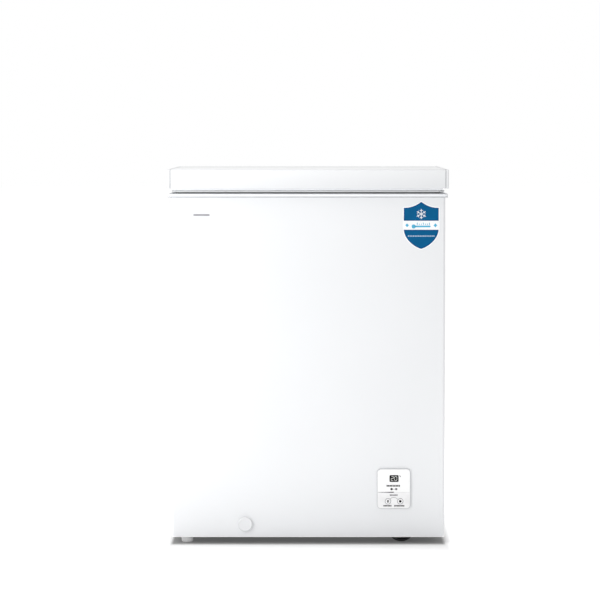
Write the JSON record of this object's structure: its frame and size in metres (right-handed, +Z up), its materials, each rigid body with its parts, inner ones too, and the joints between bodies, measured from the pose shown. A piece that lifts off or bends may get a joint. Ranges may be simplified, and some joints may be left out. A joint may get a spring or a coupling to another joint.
{
  "type": "chest freezer",
  "caption": "White top-opening chest freezer with a hinged insulated lid, a low front control panel, a drain cap, feet and rollers.",
  "frame": {"origin": "on the floor, at the middle of the outline in plan", "axes": "+Z up, -Y out of the front with the control panel, +X to the right of a viewer who faces the front; the lid's hinge is at the back (+Y)"},
  "size_m": [0.635, 0.56, 0.85],
  "materials": {
    "cabinet_steel": "smooth gloss white",
    "lid_steel": "smooth gloss white",
    "white_plastic": "satin white",
    "rim_plastic": "satin, slightly blue-grey white",
    "liner": "smooth white tank liner",
    "galvanised": "galvanised sheet",
    "foam": "rigid foamed insulation",
    "copper": "drawn copper tube",
    "coil_tube": "drawn aluminium tube",
    "black_enamel": "black enamelled steel",
    "black_plastic": "moulded black",
    "black_rubber": "matt",
    "gasket": "soft grey magnetic seal",
    "grey_plastic": "moulded grey",
    "display": "smoked display window",
    "circuit": "laminated board",
    "badge_blue": "printed blue label",
    "spring_steel": "bright spring wire",
    "basket_coat": "white coated wire"
  },
  "bodies": {
    "cabinet": {"outer_shell": "cabinet_steel", "back_panel": "galvanised", "bottom_panel": "galvanised", "foam_insulation": "foam", "inner_liner": "liner", "top_collar": "rim_plastic", "evaporator_coil": "coil_tube", "condenser_coil": "coil_tube", "shield_badge": "badge_blue", "rear_cover": "galvanised", "side_grille": "white_plastic", "cord_gland": "black_rubber", "drain_spout": "white_plastic", "drain_hose": "grey_plastic", "foot_front_left": "white_plastic", "foot_rear_left": "white_plastic", "compressor_tray": "galvanised", "roller_axle_front": "spring_steel", "roller_fork_front": "galvanised", "roller_axle_rear": "spring_steel", "roller_fork_rear": "galvanised", "compressor_housing": "black_enamel", "compressor_base": "black_enamel", "compressor_grommet_1": "black_rubber", "compressor_grommet_2": "black_rubber", "compressor_grommet_3": "black_rubber", "compressor_grommet_4": "black_rubber", "relay_cover": "black_plastic", "discharge_tube": "copper", "suction_tube": "copper", "capillary_tube": "copper", "filter_drier": "copper", "panel_bezel": "white_plastic", "panel_fascia": "white_plastic", "display_window": "display", "control_board": "circuit", "hinge_base_left": "galvanised", "hinge_pin_left": "spring_steel", "hinge_spring_left": "spring_steel", "hinge_base_right": "galvanised", "hinge_pin_right": "spring_steel", "hinge_spring_right": "spring_steel"},
    "lid": {"lid_skin": "lid_steel", "lid_end_cap_left": "white_plastic", "lid_end_cap_right": "white_plastic", "lid_foam": "foam", "lid_liner": "liner", "lid_gasket": "gasket", "hinge_leaf_left": "galvanised", "hinge_leaf_right": "galvanised"},
    "basket": {"storage_basket": "basket_coat", "basket_floor": "basket_coat", "basket_grip_front": "grey_plastic", "basket_grip_rear": "grey_plastic"},
    "drain_cap": {"drain_cap": "white_plastic"},
    "drain_plug": {"drain_plug": "grey_plastic"},
    "button_left": {"button_left": "white_plastic"},
    "button_right": {"button_right": "white_plastic"},
    "roller_front": {"roller_front": "black_plastic"},
    "roller_rear": {"roller_rear": "black_plastic"}
  },
  "joints": [
    {"name": "lid_hinge", "type": "hinge", "parent": "cabinet", "child": "lid", "pos_m": [0, 0.2715, 0.8], "axis": [-1, 0, 0], "range_deg": [0, 80], "deforming": ["hinge_spring_left", "hinge_spring_right"]},
    {"name": "basket_slide", "type": "slide", "parent": "cabinet", "child": "basket", "axis": [1, 0, 0], "range_m": [0, 0.29]},
    {"name": "drain_cap_pull", "type": "slide", "parent": "cabinet", "child": "drain_cap", "axis": [0, -1, 0], "range_m": [0, 0.03]},
    {"name": "drain_plug_lift", "type": "slide", "parent": "cabinet", "child": "drain_plug", "axis": [0, 0, 1], "range_m": [0, 0.03]},
    {"name": "button_left_press", "type": "slide", "parent": "cabinet", "child": "button_left", "axis": [0, 1, 0], "range_m": [0, 0.001], "stiffness_N_per_m": 600},
    {"name": "button_right_press", "type": "slide", "parent": "cabinet", "child": "button_right", "axis": [0, 1, 0], "range_m": [0, 0.001], "stiffness_N_per_m": 600},
    {"name": "roller_front_spin", "type": "hinge", "parent": "cabinet", "child": "roller_front", "pos_m": [0.2128, -0.231, 0.032], "axis": [0, 1, 0], "continuous": true},
    {"name": "roller_rear_spin", "type": "hinge", "parent": "cabinet", "child": "roller_rear", "pos_m": [0.2128, 0.225, 0.032], "axis": [0, 1, 0], "continuous": true}
  ]
}
